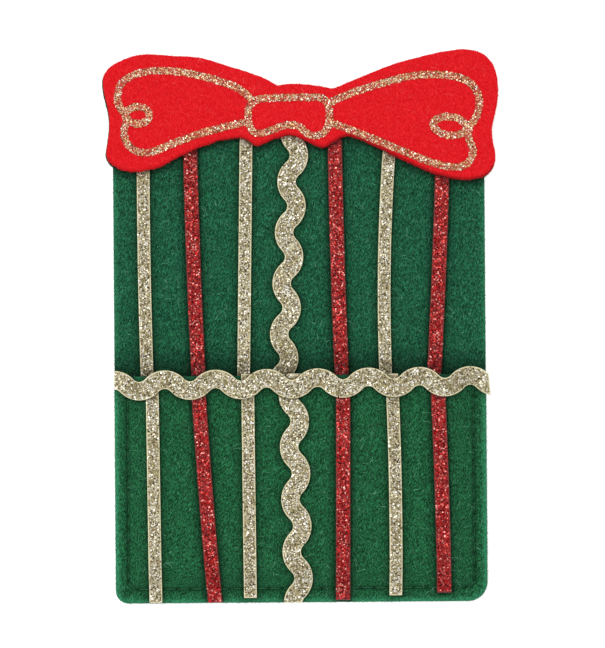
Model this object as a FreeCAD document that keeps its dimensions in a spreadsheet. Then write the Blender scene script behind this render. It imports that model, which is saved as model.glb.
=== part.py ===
import FreeCAD, Part
import math
import os
import Sketcher

# A flat felt pouch for a gift card, made up as a wrapped present with a bow.
# It lies on its back: +Z is the front, +Y points to the bow, +X to the right.
# The origin is on the rest plane, under the middle of the outline.

Vector = FreeCAD.Vector
doc = FreeCAD.newDocument("GiftCardHolder")

# Driving sizes, in millimetres
driving_sizes = [
    ("felt_thick", 2.0, "every felt sheet"),
    ("trim_thick", 1.0, "glitter strips and ricrac"),
    ("print_thick", 0.2, "raised glitter line on the bow"),
    ("panel_width", 96.0, "body of the pouch"),
    ("panel_side", -0.15, "X of the pouch's middle"),
    ("panel_foot", -71.2, "Y of the bottom edge"),
    ("left_corner", 3.2, "radius of the bottom left corner"),
    ("right_corner", 5.0, "radius of the bottom right corner"),
    ("mouth_level", -12.6, "Y of the pocket's top edge"),
    ("pocket_gap", 2.6, "room for a card behind the pocket"),
    ("ramp_run", 1.9, "width of the slope inside the seam, steep enough for a card"),
    ("ramp_inset", 3.75, "panel edge to the inner foot of that slope"),
    ("seam_inset", 3.4, "side edges to the line of stitches"),
    ("seam_foot_inset", 3.7, "bottom edge to the line of stitches"),
    ("seam_corner", 1.5, "the stitches cut off each corner by this much"),
    ("channel_width", 0.9, "dip that the stitches pull into the felt"),
    ("channel_depth", 0.55, "depth of that dip"),
    ("thread_dia", 0.5, "sewing thread"),
    ("stitch_pitch", 3.4, "from stitch to stitch"),
    ("stitch_length", 2.7, "shown length of one stitch"),
    ("bow_half_span", 50.9, "half the width of the bow"),
    ("bow_side", 0.5, "X of the bow's middle"),
    ("bow_level", 54.4, "Y of the bow's middle"),
    ("head_shift_x", -0.35, "the panel's head against the bow"),
    ("head_shift_y", -0.3, "the panel's head against the bow"),
    ("neck_drop", 4.4, "top of the panel's sides below the bow's middle"),
    ("print_width", 2.0, "glitter line on the bow"),
    ("gold_width", 3.3, "gold strips"),
    ("red_width", 3.75, "red strips"),
    ("mouth_tuck", 3.0, "upper trims reach this far into the pocket"),
    ("wave_width", 4.75, "ricrac across its band"),
    ("wave_swing", 1.45, "ricrac's middle line either side of its axis"),
    ("upper_pitch", 13.15, "wave of the upper ricrac"),
    ("lower_pitch", 13.5, "wave of the lower ricrac"),
    ("mouth_pitch", 13.12, "wave of the mouth ricrac"),
    ("mouth_axis", 2.05, "mouth ricrac's axis below the mouth"),
    ("mouth_rise", 0.6, "right end of its axis above the left end"),
    ("mouth_overhang", 0.8, "mouth ricrac past the right edge"),
    ("mouth_end_slant", 1.0, "slant of its cut right end"),
    ("mouth_crest", 4.3, "X of a crest of the mouth ricrac"),
    ("upper_crest", 10.2, "right-hand crest below the bow's middle"),
    ("lower_crest", 11.7, "right-hand crest below the mouth"),
    ("upper_ricrac_top_x", -1.0, "X of its top end"),
    ("upper_ricrac_foot_x", -4.8, "X of its bottom end"),
    ("upper_ricrac_top_drop", 1.4, "its top end below the bow's middle"),
    ("lower_ricrac_top_x", -2.0, "X of its top end"),
    ("lower_ricrac_foot_x", -1.0, "X of its bottom end"),
    ("lower_ricrac_rise", 0.5, "its top end above the mouth"),
]

# Glued by hand, each strip has its own place: X of its top and bottom ends, sideways sag at mid-length,
# and how far its top end lies below the bow's middle, or its bottom end above the panel's edge. A lower
# strip's last value is how far its top end lies below the mouth.
upper_strips = [
    ("upper_gold_strip_1", "gold_width", -40.3, -39.6, -0.25, 10.4),
    ("upper_red_strip_1", "red_width", -28.2, -26.25, -0.3, 4.4),
    ("upper_gold_strip_2", "gold_width", -13.6, -14.8, 0.0, 1.4),
    ("upper_red_strip_2", "red_width", 9.2, 10.7, -0.25, 2.4),
    ("upper_gold_strip_3", "gold_width", 23.6, 22.05, -1.0, 4.9),
    ("upper_red_strip_3", "red_width", 37.1, 34.3, 0.2, 10.4),
]
lower_strips = [
    ("lower_gold_strip_1", "gold_width", -38.3, -37.8, 0.0, 0.2, 1.5),
    ("lower_red_strip_1", "red_width", -26.5, -22.5, -0.2, 0.1, 1.7),
    ("lower_gold_strip_2", "gold_width", -13.7, -13.4, 0.0, 1.3, -0.5),
    ("lower_red_strip_2", "red_width", 10.9, 10.5, 0.0, 0.6, 2.0),
    ("lower_gold_strip_3", "gold_width", 23.4, 24.1, 0.4, 1.7, -0.3),
    ("lower_red_strip_3", "red_width", 35.2, 36.6, 0.2, 2.3, 2.0),
]
strip_places = ("top_x", "foot_x", "sag", "end_gap", "head_gap")

# Bow outline from corner to corner, clockwise, in hundredths of its half span about its middle
bow_runs = {
    "knot_top": [(-11.9, 15.4), (-1, 16.1), (7.4, 15.3), (16.6, 13.6)],
    "right_loop": [
        (16.6, 13.6), (30.2, 19.2), (48.1, 26), (63.1, 30), (80.2, 33), (90, 31.9), (97.1, 26.2),
        (99.9, 16.9), (98.9, 2), (96.8, -8.6), (98.3, -23.5), (96.1, -29.2), (89, -32.7), (81.1, -33),
        (68.9, -30.4), (54.8, -24.6), (44.3, -19.2), (26.5, -11),
    ],
    "right_notch": [(26.5, -11), (20.8, -11), (16, -13.9), (11.5, -16.4)],
    "knot_foot": [(11.5, -16.4), (2.3, -12.8), (-5.6, -10), (-10.3, -10.7), (-19.9, -14.6)],
    "left_notch": [(-19.9, -14.6), (-24.5, -14.2), (-28.9, -11.2), (-32.5, -11.2)],
    "left_loop": [
        (-32.5, -11.2), (-45.9, -13.8), (-62.4, -20.8), (-73.7, -26.2), (-82.5, -27.9), (-87.8, -27.6),
        (-95.1, -24.8), (-98.4, -20.3), (-98.1, -14.4), (-97.2, 1.9), (-100.1, 16.9), (-99.2, 22),
        (-90.9, 28.6), (-78.7, 31.8), (-65.8, 30.9), (-50.8, 29.7), (-39.7, 26.4), (-18.9, 19.4),
        (-11.9, 15.4),
    ],
}

# Middle lines of the glitter print, in the same units: round each loop, round the knot, and two oval curls,
# each by its middle, its half lengths and its tilt in degrees
print_lines = {
    "left_loop": [
        (-25.2, 8.6), (-32.2, 14.3), (-42.8, 18.4), (-54.5, 21.5), (-65.1, 23.1), (-74.7, 23.4),
        (-84.4, 21.2), (-91, 16.7), (-92.5, 11.7), (-91.6, 4.8), (-88.6, 0.5), (-89.4, -5.6),
        (-88.7, -12.2), (-85.4, -16.3), (-78.6, -18.3), (-71.5, -16.4), (-54.7, -9.9), (-43.5, -6.7),
        (-27.3, -3),
    ],
    "right_loop": [
        (15.9, 7), (24.5, 10.8), (44.4, 17), (56.5, 19.7), (69.2, 20.3), (78.6, 19.2), (86.4, 15.6),
        (90.2, 9.3), (90.1, 2.7), (87.8, -2.9), (84.8, -7.5), (86.2, -11.5), (87.2, -17.8), (86.1, -22.6),
        (81.8, -26.1), (76.2, -26.6), (65.3, -24), (54.7, -19.6), (40.6, -13.9), (30, -9.5), (17.3, -4.4),
    ],
}
print_knot = [
    (-26.6, 2.5), (-26.3, -3.5), (-23.8, -8.2), (-19.5, -8.7), (-12.5, -6.4), (-5, -4.6), (-0.4, -6),
    (3.6, -9.4), (8.6, -10), (13.4, -6.4), (14.6, -1), (14.3, 4), (11.5, 8.4), (5, 9.3), (-6, 9.3),
    (-18, 8.8), (-24.3, 7),
]
print_curls = {
    "left_curl": ((-82.6, 0.8), (5.8, 4.3), 0),
    "right_curl": ((75.4, -5.8), (8.4, 4.7), -8),
}

# Levels and insets that several pieces share
left_edge = "(Sizes.panel_side - Sizes.panel_width / 2)"
right_edge = "(Sizes.panel_side + Sizes.panel_width / 2)"
margin_top = "(2 * Sizes.felt_thick)"
plateau_top = "(2 * Sizes.felt_thick + Sizes.pocket_gap)"
strip_top = "(2 * Sizes.felt_thick + Sizes.pocket_gap + Sizes.trim_thick)"
bend_shift = "(Sizes.felt_thick * tan(atan(Sizes.pocket_gap / Sizes.ramp_run) / 2))"
outer_inset = "(Sizes.ramp_inset - %s)" % bend_shift
plateau_inset = "(%s + Sizes.ramp_run)" % outer_inset
tail_level = "(Sizes.mouth_level - Sizes.mouth_tuck)"
clear_over = 5.0  # cutting solids run past the felt by this much
arc_error = 0.04  # arcs follow a smooth line this closely
thread_sides = 6  # a stitch is a flat-sided prism, pressed into its dip


def makeSheet():
    cells = list(driving_sizes)
    for name, width, *places in upper_strips + lower_strips:
        cells += [("%s_%s" % (name, word), number, name) for word, number in zip(strip_places, places)]
    table = doc.addObject("Spreadsheet::Sheet", "Sizes")
    for row, (alias, number, note) in enumerate(cells, start=1):
        table.set("A%d" % row, alias)
        table.set("B%d" % row, str(number))
        table.set("C%d" % row, note)
        table.setAlias("B%d" % row, alias)
    doc.recompute()
    return table


sheet = makeSheet()
pieces = []


def value(expression):
    result = sheet.evalExpression(expression)
    return float(getattr(result, "Value", result))


def size(alias):
    return value("Sizes." + alias)


def keep(piece, label):
    piece.Label = label
    pieces.append(piece)
    return piece


def outlineObject(label, face):
    outline = doc.addObject("Part::Feature", label + "_edge")
    outline.Shape = face
    return outline


def extrude(label, outline, direction, length, level="0"):
    solid = doc.addObject("Part::Extrusion", label)
    solid.Base = outline
    solid.DirMode = "Custom"
    solid.Dir = direction
    solid.Solid = True
    solid.setExpression("LengthFwd", length)
    solid.setExpression("Placement.Base.z", level)
    return solid


def polygonFace(corners):
    return Part.Face(Part.makePolygon(corners + corners[:1]))


def originPlane(body):
    return next(part for part in body.Origin.OriginFeatures if part.Role == "XY_Plane")


def polygonSketch(body, name, corners, level="0"):
    sketch = body.newObject("Sketcher::SketchObject", name)
    sketch.AttachmentSupport = (originPlane(body), [""])
    sketch.MapMode = "FlatFace"
    sketch.setExpression("AttachmentOffset.Base.z", level)
    spots = [Vector(value(across), value(along), 0) for across, along in corners]
    count = len(spots)
    for i in range(count):
        sketch.addGeometry(Part.LineSegment(spots[i], spots[(i + 1) % count]))
    for i in range(count):
        sketch.addConstraint(Sketcher.Constraint("Coincident", i, 2, (i + 1) % count, 1))
    for i, corner in enumerate(corners):
        for kind, formula in zip(("DistanceX", "DistanceY"), corner):
            index = sketch.addConstraint(Sketcher.Constraint(kind, -1, 1, i, 1, value(formula)))
            sketch.setExpression("Constraints[%d]" % index, formula)
    return sketch


def pad(body, name, sketch, length):
    feature = body.newObject("PartDesign::Pad", name)
    feature.Profile = sketch
    feature.setExpression("Length", length)
    doc.recompute()
    return feature


def roundCorner(body, base, name, corner_x, radius):
    spot = Vector(value(corner_x), size("panel_foot"), 0)
    for number, edge in enumerate(base.Shape.Edges, start=1):
        ends = [Vector(vertex.X, vertex.Y, 0) for vertex in edge.Vertexes]
        if all(end.distanceToPoint(spot) < 1e-6 for end in ends):
            break
    feature = body.newObject("PartDesign::Fillet", name)
    feature.Base = (base, ["Edge%d" % number])
    feature.setExpression("Radius", radius)
    doc.recompute()
    return feature


def sheetBody(label, top):
    # A felt rectangle with its two bottom corners rounded
    body = doc.addObject("PartDesign::Body", label)
    corners = [
        (left_edge, "Sizes.panel_foot"), (right_edge, "Sizes.panel_foot"),
        (right_edge, top), (left_edge, top),
    ]
    base = pad(body, label + "_sheet", polygonSketch(body, label + "_sketch", corners), "Sizes.felt_thick")
    base = roundCorner(body, base, label + "_left_corner", left_edge, "Sizes.left_corner")
    roundCorner(body, base, label + "_right_corner", right_edge, "Sizes.right_corner")
    return body


def seamCorners(out):
    # The line of stitches, moved outwards by that much: down one side, across the bottom and up the other
    left = "(%s + Sizes.seam_inset - %s)" % (left_edge, out)
    right = "(%s - Sizes.seam_inset + %s)" % (right_edge, out)
    foot = "(Sizes.panel_foot + Sizes.seam_foot_inset - %s)" % out
    cut = "(Sizes.seam_corner + %s * (2 - sqrt(2)))" % out
    top, turn = "Sizes.mouth_level", "%s + %s" % (foot, cut)
    return [
        (left, top), (left, turn), (left + " + " + cut, foot),
        (right + " - " + cut, foot), (right, turn), (right, top),
    ]


def seamChannel(body, name, level, depth, upwards):
    # The dip that the stitches lie in
    outer, inner = (seamCorners("(%s * Sizes.channel_width / 2)" % side) for side in (1, -1))
    corners = outer + inner[::-1]
    before = body.Shape.Volume
    cut = body.newObject("PartDesign::Pocket", name)
    cut.Profile = polygonSketch(body, name + "_sketch", corners, level)
    cut.Reversed = upwards
    cut.setExpression("Length", depth)
    doc.recompute()
    if body.Shape.Volume >= before:
        raise ValueError(name + " cuts nothing")


def wedge(body, kind, name, level, foot_inset, head_inset, top):
    # A block whose sides and bottom slope in towards the front, square at its top edge
    form = body.newObject("PartDesign::" + kind, name)
    foot_edge = "-(Sizes.panel_foot + %s)" % foot_inset
    head_edge = "-(Sizes.panel_foot + %s)" % head_inset
    bindings = {
        "Xmin": "%s + %s" % (left_edge, foot_inset),
        "Xmax": "%s - %s" % (right_edge, foot_inset),
        "X2min": "%s + %s" % (left_edge, head_inset),
        "X2max": "%s - %s" % (right_edge, head_inset),
        "Ymin": "0",
        "Ymax": "Sizes.pocket_gap",
        "Zmin": "-(%s)" % top,
        "Zmax": foot_edge,
        "Z2min": "-(%s)" % top,
        "Z2max": head_edge,
    }
    for key, formula in bindings.items():
        setattr(form, key, value(formula))
        form.setExpression(key, formula)
    form.Placement = FreeCAD.Placement(Vector(0, 0, value(level)), FreeCAD.Rotation(Vector(1, 0, 0), 90))
    form.setExpression("Placement.Base.z", level)
    doc.recompute()


def bowSpot(point, shift=Vector(0, 0, 0)):
    unit = size("bow_half_span") / 100
    return Vector(size("bow_side") + point[0] * unit, size("bow_level") + point[1] * unit, 0) + shift


def smoothArcs(spots, closed=False):
    # A smooth line through the spots, made of arcs that run into each other
    curve = Part.BSplineCurve()
    curve.interpolate(Points=spots, PeriodicFlag=closed)
    return curve.toBiArcs(arc_error)


def bowArcs(shift=Vector(0, 0, 0)):
    runs = [[bowSpot(point, shift) for point in run] for run in bow_runs.values()]
    return [arc for run in runs for arc in smoothArcs(run)]


def makeBackPanel():
    body = sheetBody("back_panel", "Sizes.bow_level - Sizes.neck_drop")
    head = body.newObject("Sketcher::SketchObject", "back_panel_head_sketch")
    head.AttachmentSupport = (originPlane(body), [""])
    head.MapMode = "FlatFace"
    head.addGeometry(bowArcs(Vector(size("head_shift_x"), size("head_shift_y"), 0)))
    pad(body, "back_panel_head", head, "Sizes.felt_thick")
    seamChannel(body, "back_panel_channel", "0", "Sizes.channel_depth", True)
    keep(body, "back_panel")


def makePocketPanel():
    mouth = "Sizes.mouth_level"
    body = sheetBody("pocket_panel", mouth)
    wedge(body, "AdditiveWedge", "pocket_front", "Sizes.felt_thick", outer_inset, plateau_inset, mouth)
    inner_head = "(Sizes.ramp_inset + Sizes.ramp_run)"
    open_top = "(%s + %s)" % (mouth, clear_over)
    wedge(body, "SubtractiveWedge", "card_space", "0", "Sizes.ramp_inset", inner_head, open_top)
    depth = "Sizes.pocket_gap + Sizes.channel_depth"
    seamChannel(body, "pocket_channel", "Sizes.felt_thick + Sizes.pocket_gap", depth, False)
    body.setExpression("Placement.Base.z", "Sizes.felt_thick")
    keep(body, "pocket_panel")


def makeBow():
    wire = Part.Wire([arc.toShape() for arc in bowArcs()])
    outline = outlineObject("bow", Part.Face(wire))
    level = "Sizes.felt_thick + Sizes.trim_thick"
    keep(extrude("bow_sheet", outline, Vector(0, 0, 1), "Sizes.felt_thick", level), "bow")


def lineSide(arcs, side):
    # The arcs beside a line of arcs, that far to its left
    def beside(arc, at):
        ahead = arc.tangent(at)[0]
        return arc.value(at) + Vector(-ahead.y, ahead.x, 0) * side

    spot = beside(arcs[0], arcs[0].FirstParameter)
    edges = []
    for arc in arcs:
        middle = beside(arc, (arc.FirstParameter + arc.LastParameter) / 2)
        end = beside(arc, arc.LastParameter)
        edges.append(Part.Arc(spot, middle, end).toShape())
        spot = end
    return edges


def lineFace(arcs, width):
    # A line of even width with square ends
    left, right = (lineSide(arcs, side) for side in (width / 2, -width / 2))
    edges = left + right
    for end in (0, -1):
        tips = [side[end].Vertexes[end].Point for side in (left, right)]
        edges.append(Part.LineSegment(*tips).toShape())
    return Part.Face(Part.Wire(Part.__sortEdges__(edges)))


def ringFace(arcs, width):
    # A line of even width that closes on itself
    rims = [Part.Face(Part.Wire(lineSide(arcs, side))) for side in (width / 2, -width / 2)]
    rims.sort(key=lambda rim: rim.Area, reverse=True)
    return rims[0].cut(rims[1]).Faces[0]


def ovalArcs(middle, half_lengths, tilt):
    unit, centre = size("bow_half_span") / 100, bowSpot(middle)
    turn = FreeCAD.Rotation(Vector(0, 0, 1), tilt)
    axes = [turn.multVec(axis) for axis in (Vector(1, 0, 0), Vector(0, 1, 0))]
    ends = [centre + axis * (length * unit) for axis, length in zip(axes, half_lengths)]
    return Part.Ellipse(*ends, centre).toBSpline().toBiArcs(arc_error)


def makeBowOutline():
    level = "2 * Sizes.felt_thick + Sizes.trim_thick"
    width = size("print_width")
    faces = {"knot": ringFace(smoothArcs([bowSpot(point) for point in print_knot], True), width)}
    for name, run in print_lines.items():
        faces[name] = lineFace(smoothArcs([bowSpot(point) for point in run]), width)
    for name, oval in print_curls.items():
        faces[name] = ringFace(ovalArcs(*oval), width)
    lines = []
    for name, face in faces.items():
        outline = outlineObject("print_" + name, face)
        lines.append(extrude("print_line_" + name, outline, Vector(0, 0, 1), "Sizes.print_thick", level))
    fused = doc.addObject("Part::MultiFuse", "bow_print")
    fused.Shapes = lines
    keep(fused, "bow_outline")


def stripFace(name, width, top_y, foot_y):
    # A strip between two ends, bowed sideways by its sag
    top_x, foot_x = size(name + "_top_x"), size(name + "_foot_x")
    sag = size(name + "_sag")
    edges = []
    for side in (-width / 2, width / 2):
        top, foot = Vector(top_x + side, top_y, 0), Vector(foot_x + side, foot_y, 0)
        if sag:
            edges.append(Part.Arc(top, (top + foot) / 2 + Vector(sag, 0, 0), foot).toShape())
        else:
            edges.append(Part.LineSegment(top, foot).toShape())
    for end_x, end_y in ((top_x, top_y), (foot_x, foot_y)):
        ends = Vector(end_x - width / 2, end_y, 0), Vector(end_x + width / 2, end_y, 0)
        edges.append(Part.LineSegment(*ends).toShape())
    return Part.Face(Part.Wire(Part.__sortEdges__(edges)))


def makeUpperStrips():
    for name, width, *places in upper_strips:
        top_y = value("Sizes.bow_level - Sizes.%s_end_gap" % name)
        outline = outlineObject(name, stripFace(name, size(width), top_y, value(tail_level)))
        solid = extrude(name + "_sheet", outline, Vector(0, 0, 1), "Sizes.trim_thick", "Sizes.felt_thick")
        keep(solid, name)


def bandFace(spots, thick, normal):
    # A band of even thickness on an open run of straight stretches, mitred at its bends
    ahead = [(there - here).normalize() for here, there in zip(spots, spots[1:])]
    across = [normal.cross(step) for step in ahead]
    over = [spots[0] + across[0] * thick]
    for spot, before, after in zip(spots[1:], across, across[1:]):
        half = (before + after).normalize()
        over.append(spot + half * (thick / half.dot(after)))
    over.append(spots[-1] + across[-1] * thick)
    return polygonFace(spots + over[::-1])


def makeStripBed():
    # The space that the lower trims fill: over the pocket's front, down its slope and onto its margin
    foot, rim = size("panel_foot"), value(margin_top)
    front = value(plateau_top)
    spots = [
        Vector(0, foot, rim),
        Vector(0, foot + value(outer_inset), rim),
        Vector(0, foot + value(plateau_inset), front),
        Vector(0, size("mouth_level") + size("trim_thick"), front),
    ]
    face = bandFace(spots, size("trim_thick"), Vector(1, 0, 0))
    face.translate(Vector(value(left_edge), 0, 0))
    return extrude("strip_bed", outlineObject("strip_bed", face), Vector(1, 0, 0), "Sizes.panel_width")


def bendOnto(bed, label, face, height):
    # A flat outline taken up through a bent bed gives the bent trim
    tall = extrude(label + "_tall", outlineObject(label, face), Vector(0, 0, 1), height)
    bent = doc.addObject("Part::Common", label + "_bent")
    bent.Base, bent.Tool = tall, bed
    keep(bent, label)


def makeLowerStrips(bed):
    for name, width, *places in lower_strips:
        foot_y = value("Sizes.panel_foot + Sizes.%s_end_gap" % name)
        top_y = value("Sizes.mouth_level - Sizes.%s_head_gap" % name)
        face = stripFace(name, size(width), top_y, foot_y)
        bendOnto(bed, name, face, strip_top + " + Sizes.trim_thick")


def ricracFace(start, end, crest, pitch, window):
    # Alternate arcs that meet smoothly on the axis, cut to the window's corners.
    # The axis runs from start to end, and crest is how far along it the band swings fully to its left.
    swing, half_band, chord = size("wave_swing"), size("wave_width") / 2, pitch / 2
    radius = (chord * chord / 4 + swing * swing) / (2 * swing)
    ahead = (end - start).normalize()
    left = Vector(-ahead.y, ahead.x, 0)
    lean = Vector(-chord / 2, radius - swing, 0) * (half_band / radius)

    def spot(along, across):
        return start + ahead * along + left * across

    length = start.distanceToPoint(end)
    first = int((crest + chord) // chord + 2)
    count = int((length + 2 * pitch) // chord + 2)
    sides = {1: [], -1: []}
    for i in range(-first, count):
        sign = 1 if i % 2 == 0 else -1
        middle = crest + i * chord
        for side, edges in sides.items():
            begin = spot(middle - chord / 2 + sign * side * lean.x, side * lean.y)
            peak = spot(middle, sign * swing + side * half_band)
            finish = spot(middle + chord / 2 - sign * side * lean.x, side * lean.y)
            edges.append(Part.Arc(begin, peak, finish).toShape())
    caps = []
    for edge in (0, -1):
        tips = [sides[side][edge].Vertexes[edge].Point for side in (1, -1)]
        caps.append(Part.LineSegment(*tips).toShape())
    wave = Part.Face(Part.Wire(Part.__sortEdges__(sides[1] + sides[-1] + caps)))
    return wave.common(polygonFace(window)).Faces[0]


def levelWindow(foot_y, top_y):
    # Level cuts across a ricrac that runs up the pouch
    left, right = value(left_edge), value(right_edge)
    return [Vector(x, y, 0) for x, y in ((left, foot_y), (right, foot_y), (right, top_y), (left, top_y))]


def makeUpperRicrac():
    top_y = value("Sizes.bow_level - Sizes.upper_ricrac_top_drop")
    foot_y = value(tail_level)
    start = Vector(size("upper_ricrac_foot_x"), foot_y, 0)
    end = Vector(size("upper_ricrac_top_x"), top_y, 0)
    crest = value("Sizes.bow_level - Sizes.upper_crest") - foot_y + size("upper_pitch") / 2
    face = ricracFace(start, end, crest, size("upper_pitch"), levelWindow(foot_y, top_y))
    outline = outlineObject("upper_ricrac", face)
    solid = extrude("upper_ricrac_sheet", outline, Vector(0, 0, 1), "Sizes.trim_thick", "Sizes.felt_thick")
    keep(solid, "upper_ricrac")


def makeLowerRicrac(bed):
    top_y, foot_y = value("Sizes.mouth_level + Sizes.lower_ricrac_rise"), size("panel_foot")
    start = Vector(size("lower_ricrac_foot_x"), foot_y, 0)
    end = Vector(size("lower_ricrac_top_x"), top_y, 0)
    crest = value("Sizes.mouth_level - Sizes.lower_crest") - foot_y + size("lower_pitch") / 2
    face = ricracFace(start, end, crest, size("lower_pitch"), levelWindow(foot_y, top_y))
    bendOnto(bed, "lower_ricrac", face, strip_top + " + Sizes.trim_thick")


def makeMouthRicrac():
    # It lies on the lower trims, and its ends come down the side slopes onto the margins
    left, right = value(left_edge), value(right_edge)
    axis_y = value("Sizes.mouth_level - Sizes.mouth_axis")
    right_end = right + size("mouth_overhang")
    slant, reach = size("mouth_end_slant"), size("wave_width")
    window = [
        Vector(left, axis_y - reach, 0),
        Vector(right_end + slant / 2, axis_y - reach, 0),
        Vector(right_end - slant / 2, axis_y + reach, 0),
        Vector(left, axis_y + reach, 0),
    ]
    half_rise = size("mouth_rise") / 2
    start, end = Vector(left, axis_y - half_rise, 0), Vector(right, axis_y + half_rise, 0)
    face = ricracFace(start, end, size("mouth_crest") - left, size("mouth_pitch"), window)
    rim, bed_top = value(margin_top), value(strip_top)
    shoulder = right - value(plateau_inset)
    landing = right - value(outer_inset) + size("trim_thick") / 2
    past = right_end + slant
    right_half = [(shoulder, bed_top), (landing, rim), (past, rim)]
    left_half = [(left + right - x, z) for x, z in reversed(right_half)]
    spots = [Vector(x, 0, z) for x, z in left_half + right_half]
    bed_face = bandFace(spots, size("trim_thick"), Vector(0, -1, 0))
    bed_face.translate(Vector(0, axis_y - reach, 0))
    outline = outlineObject("mouth_bed", bed_face)
    bed = extrude("mouth_bed", outline, Vector(0, 1, 0), "2 * Sizes.wave_width")
    bendOnto(bed, "mouth_ricrac", face, strip_top + " + 2 * Sizes.trim_thick")


def stitch(begin, ahead, length):
    # One straight length of thread, with a flat side to the front and one to the back
    across, up = ahead.cross(Vector(0, 0, 1)), Vector(0, 0, 1)
    step = 2 * math.pi / thread_sides
    reach = size("thread_dia") / 2 / math.cos(step / 2)
    turns = [step * (i + 0.5) for i in range(thread_sides)]
    corners = [begin + (across * math.sin(turn) + up * math.cos(turn)) * reach for turn in turns]
    return polygonFace(corners).extrude(ahead * length)


def makeSeam(label, level):
    # Straight stitches that lie end to end along the seam, evenly on each run
    turns = [Vector(value(x), value(y), value(level)) for x, y in seamCorners("0")]
    shown = size("stitch_length") / size("stitch_pitch")
    stitches = []
    for here, there in zip(turns, turns[1:]):
        ahead = (there - here).normalize()
        run = here.distanceToPoint(there)
        count = max(1, round(run / size("stitch_pitch")))
        pitch = run / count
        for i in range(count):
            begin = here + ahead * (pitch * (i + (1 - shown) / 2))
            stitches.append(stitch(begin, ahead, pitch * shown))
    seam = doc.addObject("Part::Feature", label)
    seam.Shape = Part.makeCompound(stitches)
    keep(seam, label)


def checkAndWrite():
    doc.recompute()
    for item in doc.Objects:
        if "Invalid" in item.State or "Error" in item.State:
            raise ValueError("%s failed: %s" % (item.Label, item.State))
    for piece in pieces:
        if piece.Shape.isNull() or not piece.Shape.isValid() or not piece.Shape.Solids:
            raise ValueError("%s has no sound solid" % piece.Label)
    os.makedirs("parts", exist_ok=True)
    for piece in pieces:
        piece.Shape.exportStep("parts/%s.step" % piece.Label)
        print(piece.Label, len(piece.Shape.Solids), "solids, %.1f mm3" % piece.Shape.Volume)


makeBackPanel()
makePocketPanel()
makeUpperStrips()
makeUpperRicrac()
makeBow()
makeBowOutline()
strip_bed = makeStripBed()
makeLowerStrips(strip_bed)
makeLowerRicrac(strip_bed)
makeMouthRicrac()
makeSeam("seam_top_thread", "2 * Sizes.felt_thick - Sizes.channel_depth + Sizes.thread_dia / 2")
makeSeam("seam_bobbin_thread", "Sizes.channel_depth - Sizes.thread_dia / 2")
checkAndWrite()
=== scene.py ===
import math

import bpy
import numpy as np
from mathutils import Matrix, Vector, kdtree, noise
from mathutils.geometry import delaunay_2d_cdt


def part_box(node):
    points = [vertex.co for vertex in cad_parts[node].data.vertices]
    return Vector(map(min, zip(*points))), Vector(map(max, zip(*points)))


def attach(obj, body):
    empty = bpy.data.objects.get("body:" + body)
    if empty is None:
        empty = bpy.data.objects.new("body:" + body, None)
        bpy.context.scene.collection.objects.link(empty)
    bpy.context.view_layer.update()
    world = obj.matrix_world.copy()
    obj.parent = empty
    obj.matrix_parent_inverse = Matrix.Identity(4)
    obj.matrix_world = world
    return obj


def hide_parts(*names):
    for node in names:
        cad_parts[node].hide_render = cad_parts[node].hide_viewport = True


# A felt gift card pouch made up as a wrapped present, lying on its back: +Z front, +Y towards the bow
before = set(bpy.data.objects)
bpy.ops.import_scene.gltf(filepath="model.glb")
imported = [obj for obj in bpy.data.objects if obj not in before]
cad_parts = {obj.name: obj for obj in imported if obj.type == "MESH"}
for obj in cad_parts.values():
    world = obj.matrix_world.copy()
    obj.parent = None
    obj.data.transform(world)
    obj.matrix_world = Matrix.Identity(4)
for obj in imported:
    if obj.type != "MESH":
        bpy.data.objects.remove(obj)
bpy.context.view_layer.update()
mm = 0.001
print("frame loaded:", len(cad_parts), "nodes")


def paint(red, green, blue):
    # a screen colour, 0 to 255, as the linear colour that shaders take
    def linear(part):
        part /= 255
        return part / 12.92 if part <= 0.04045 else ((part + 0.055) / 1.055) ** 2.4

    return (linear(red), linear(green), linear(blue), 1)


# Levels and places that several pieces share, all read from the frame
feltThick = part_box("back_panel")[1].z
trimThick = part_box("upper_gold_strip_1")[1].z - feltThick
pocketLow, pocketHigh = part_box("pocket_panel")
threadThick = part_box("seam_bobbin_thread")[1].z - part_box("seam_bobbin_thread")[0].z
seamLow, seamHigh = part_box("seam_top_thread")
seamLeft, seamRight = seamLow.x + threadThick / 2, seamHigh.x - threadThick / 2
seamFoot = seamLow.y + threadThick / 2
mouthLevel = pocketHigh.y
marginTop = pocketLow.z + feltThick
goldStrips, redStrips, upperTrims, lowerTrims = (
    [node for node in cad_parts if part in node]
    for part in ("gold_strip", "red_strip", "upper_", "lower_"))
farAway = 10 * mm  # too far for any shade


# Camera: square on, from far off, leaning a little with the photograph
cameraLook = {
    "lens": 300,
    "imageTall": 167.2 * mm,  # what the picture's height covers at the felt
    "middle": (0.55 * mm, 0.64 * mm, 4 * mm),
    "roll": -0.43,
}


def makeCamera(look):
    data = bpy.data.cameras.new("camera")
    data.lens = look["lens"]
    away = look["imageTall"] * data.lens / data.sensor_width
    data.clip_end = 10 * away
    camera = newObject("camera", data)
    camera.location = Vector(look["middle"]) + Vector((0, 0, away))
    camera.rotation_euler = (0, 0, math.radians(look["roll"]))
    bpy.context.scene.camera = camera


# Floor and light: white surroundings, one large soft lamp
stageLook = {
    "floorLevel": -0.02 * mm,  # just clear of the felt's back
    "floorSize": 4.0,
    "floorColour": (0.86, 0.86, 0.86, 1),
    "floorGlow": 0.6,
    "clearWithin": 2 * mm,  # rays shorter than this come from the back that lies on the floor
    "worldColour": (1, 1, 1, 1),
    "worldStrength": 0.8,
    "lampPlace": (-0.35, 0.3, 1.1),
    "lampSize": 0.7,
    "lampPower": 4.0,
}


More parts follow.
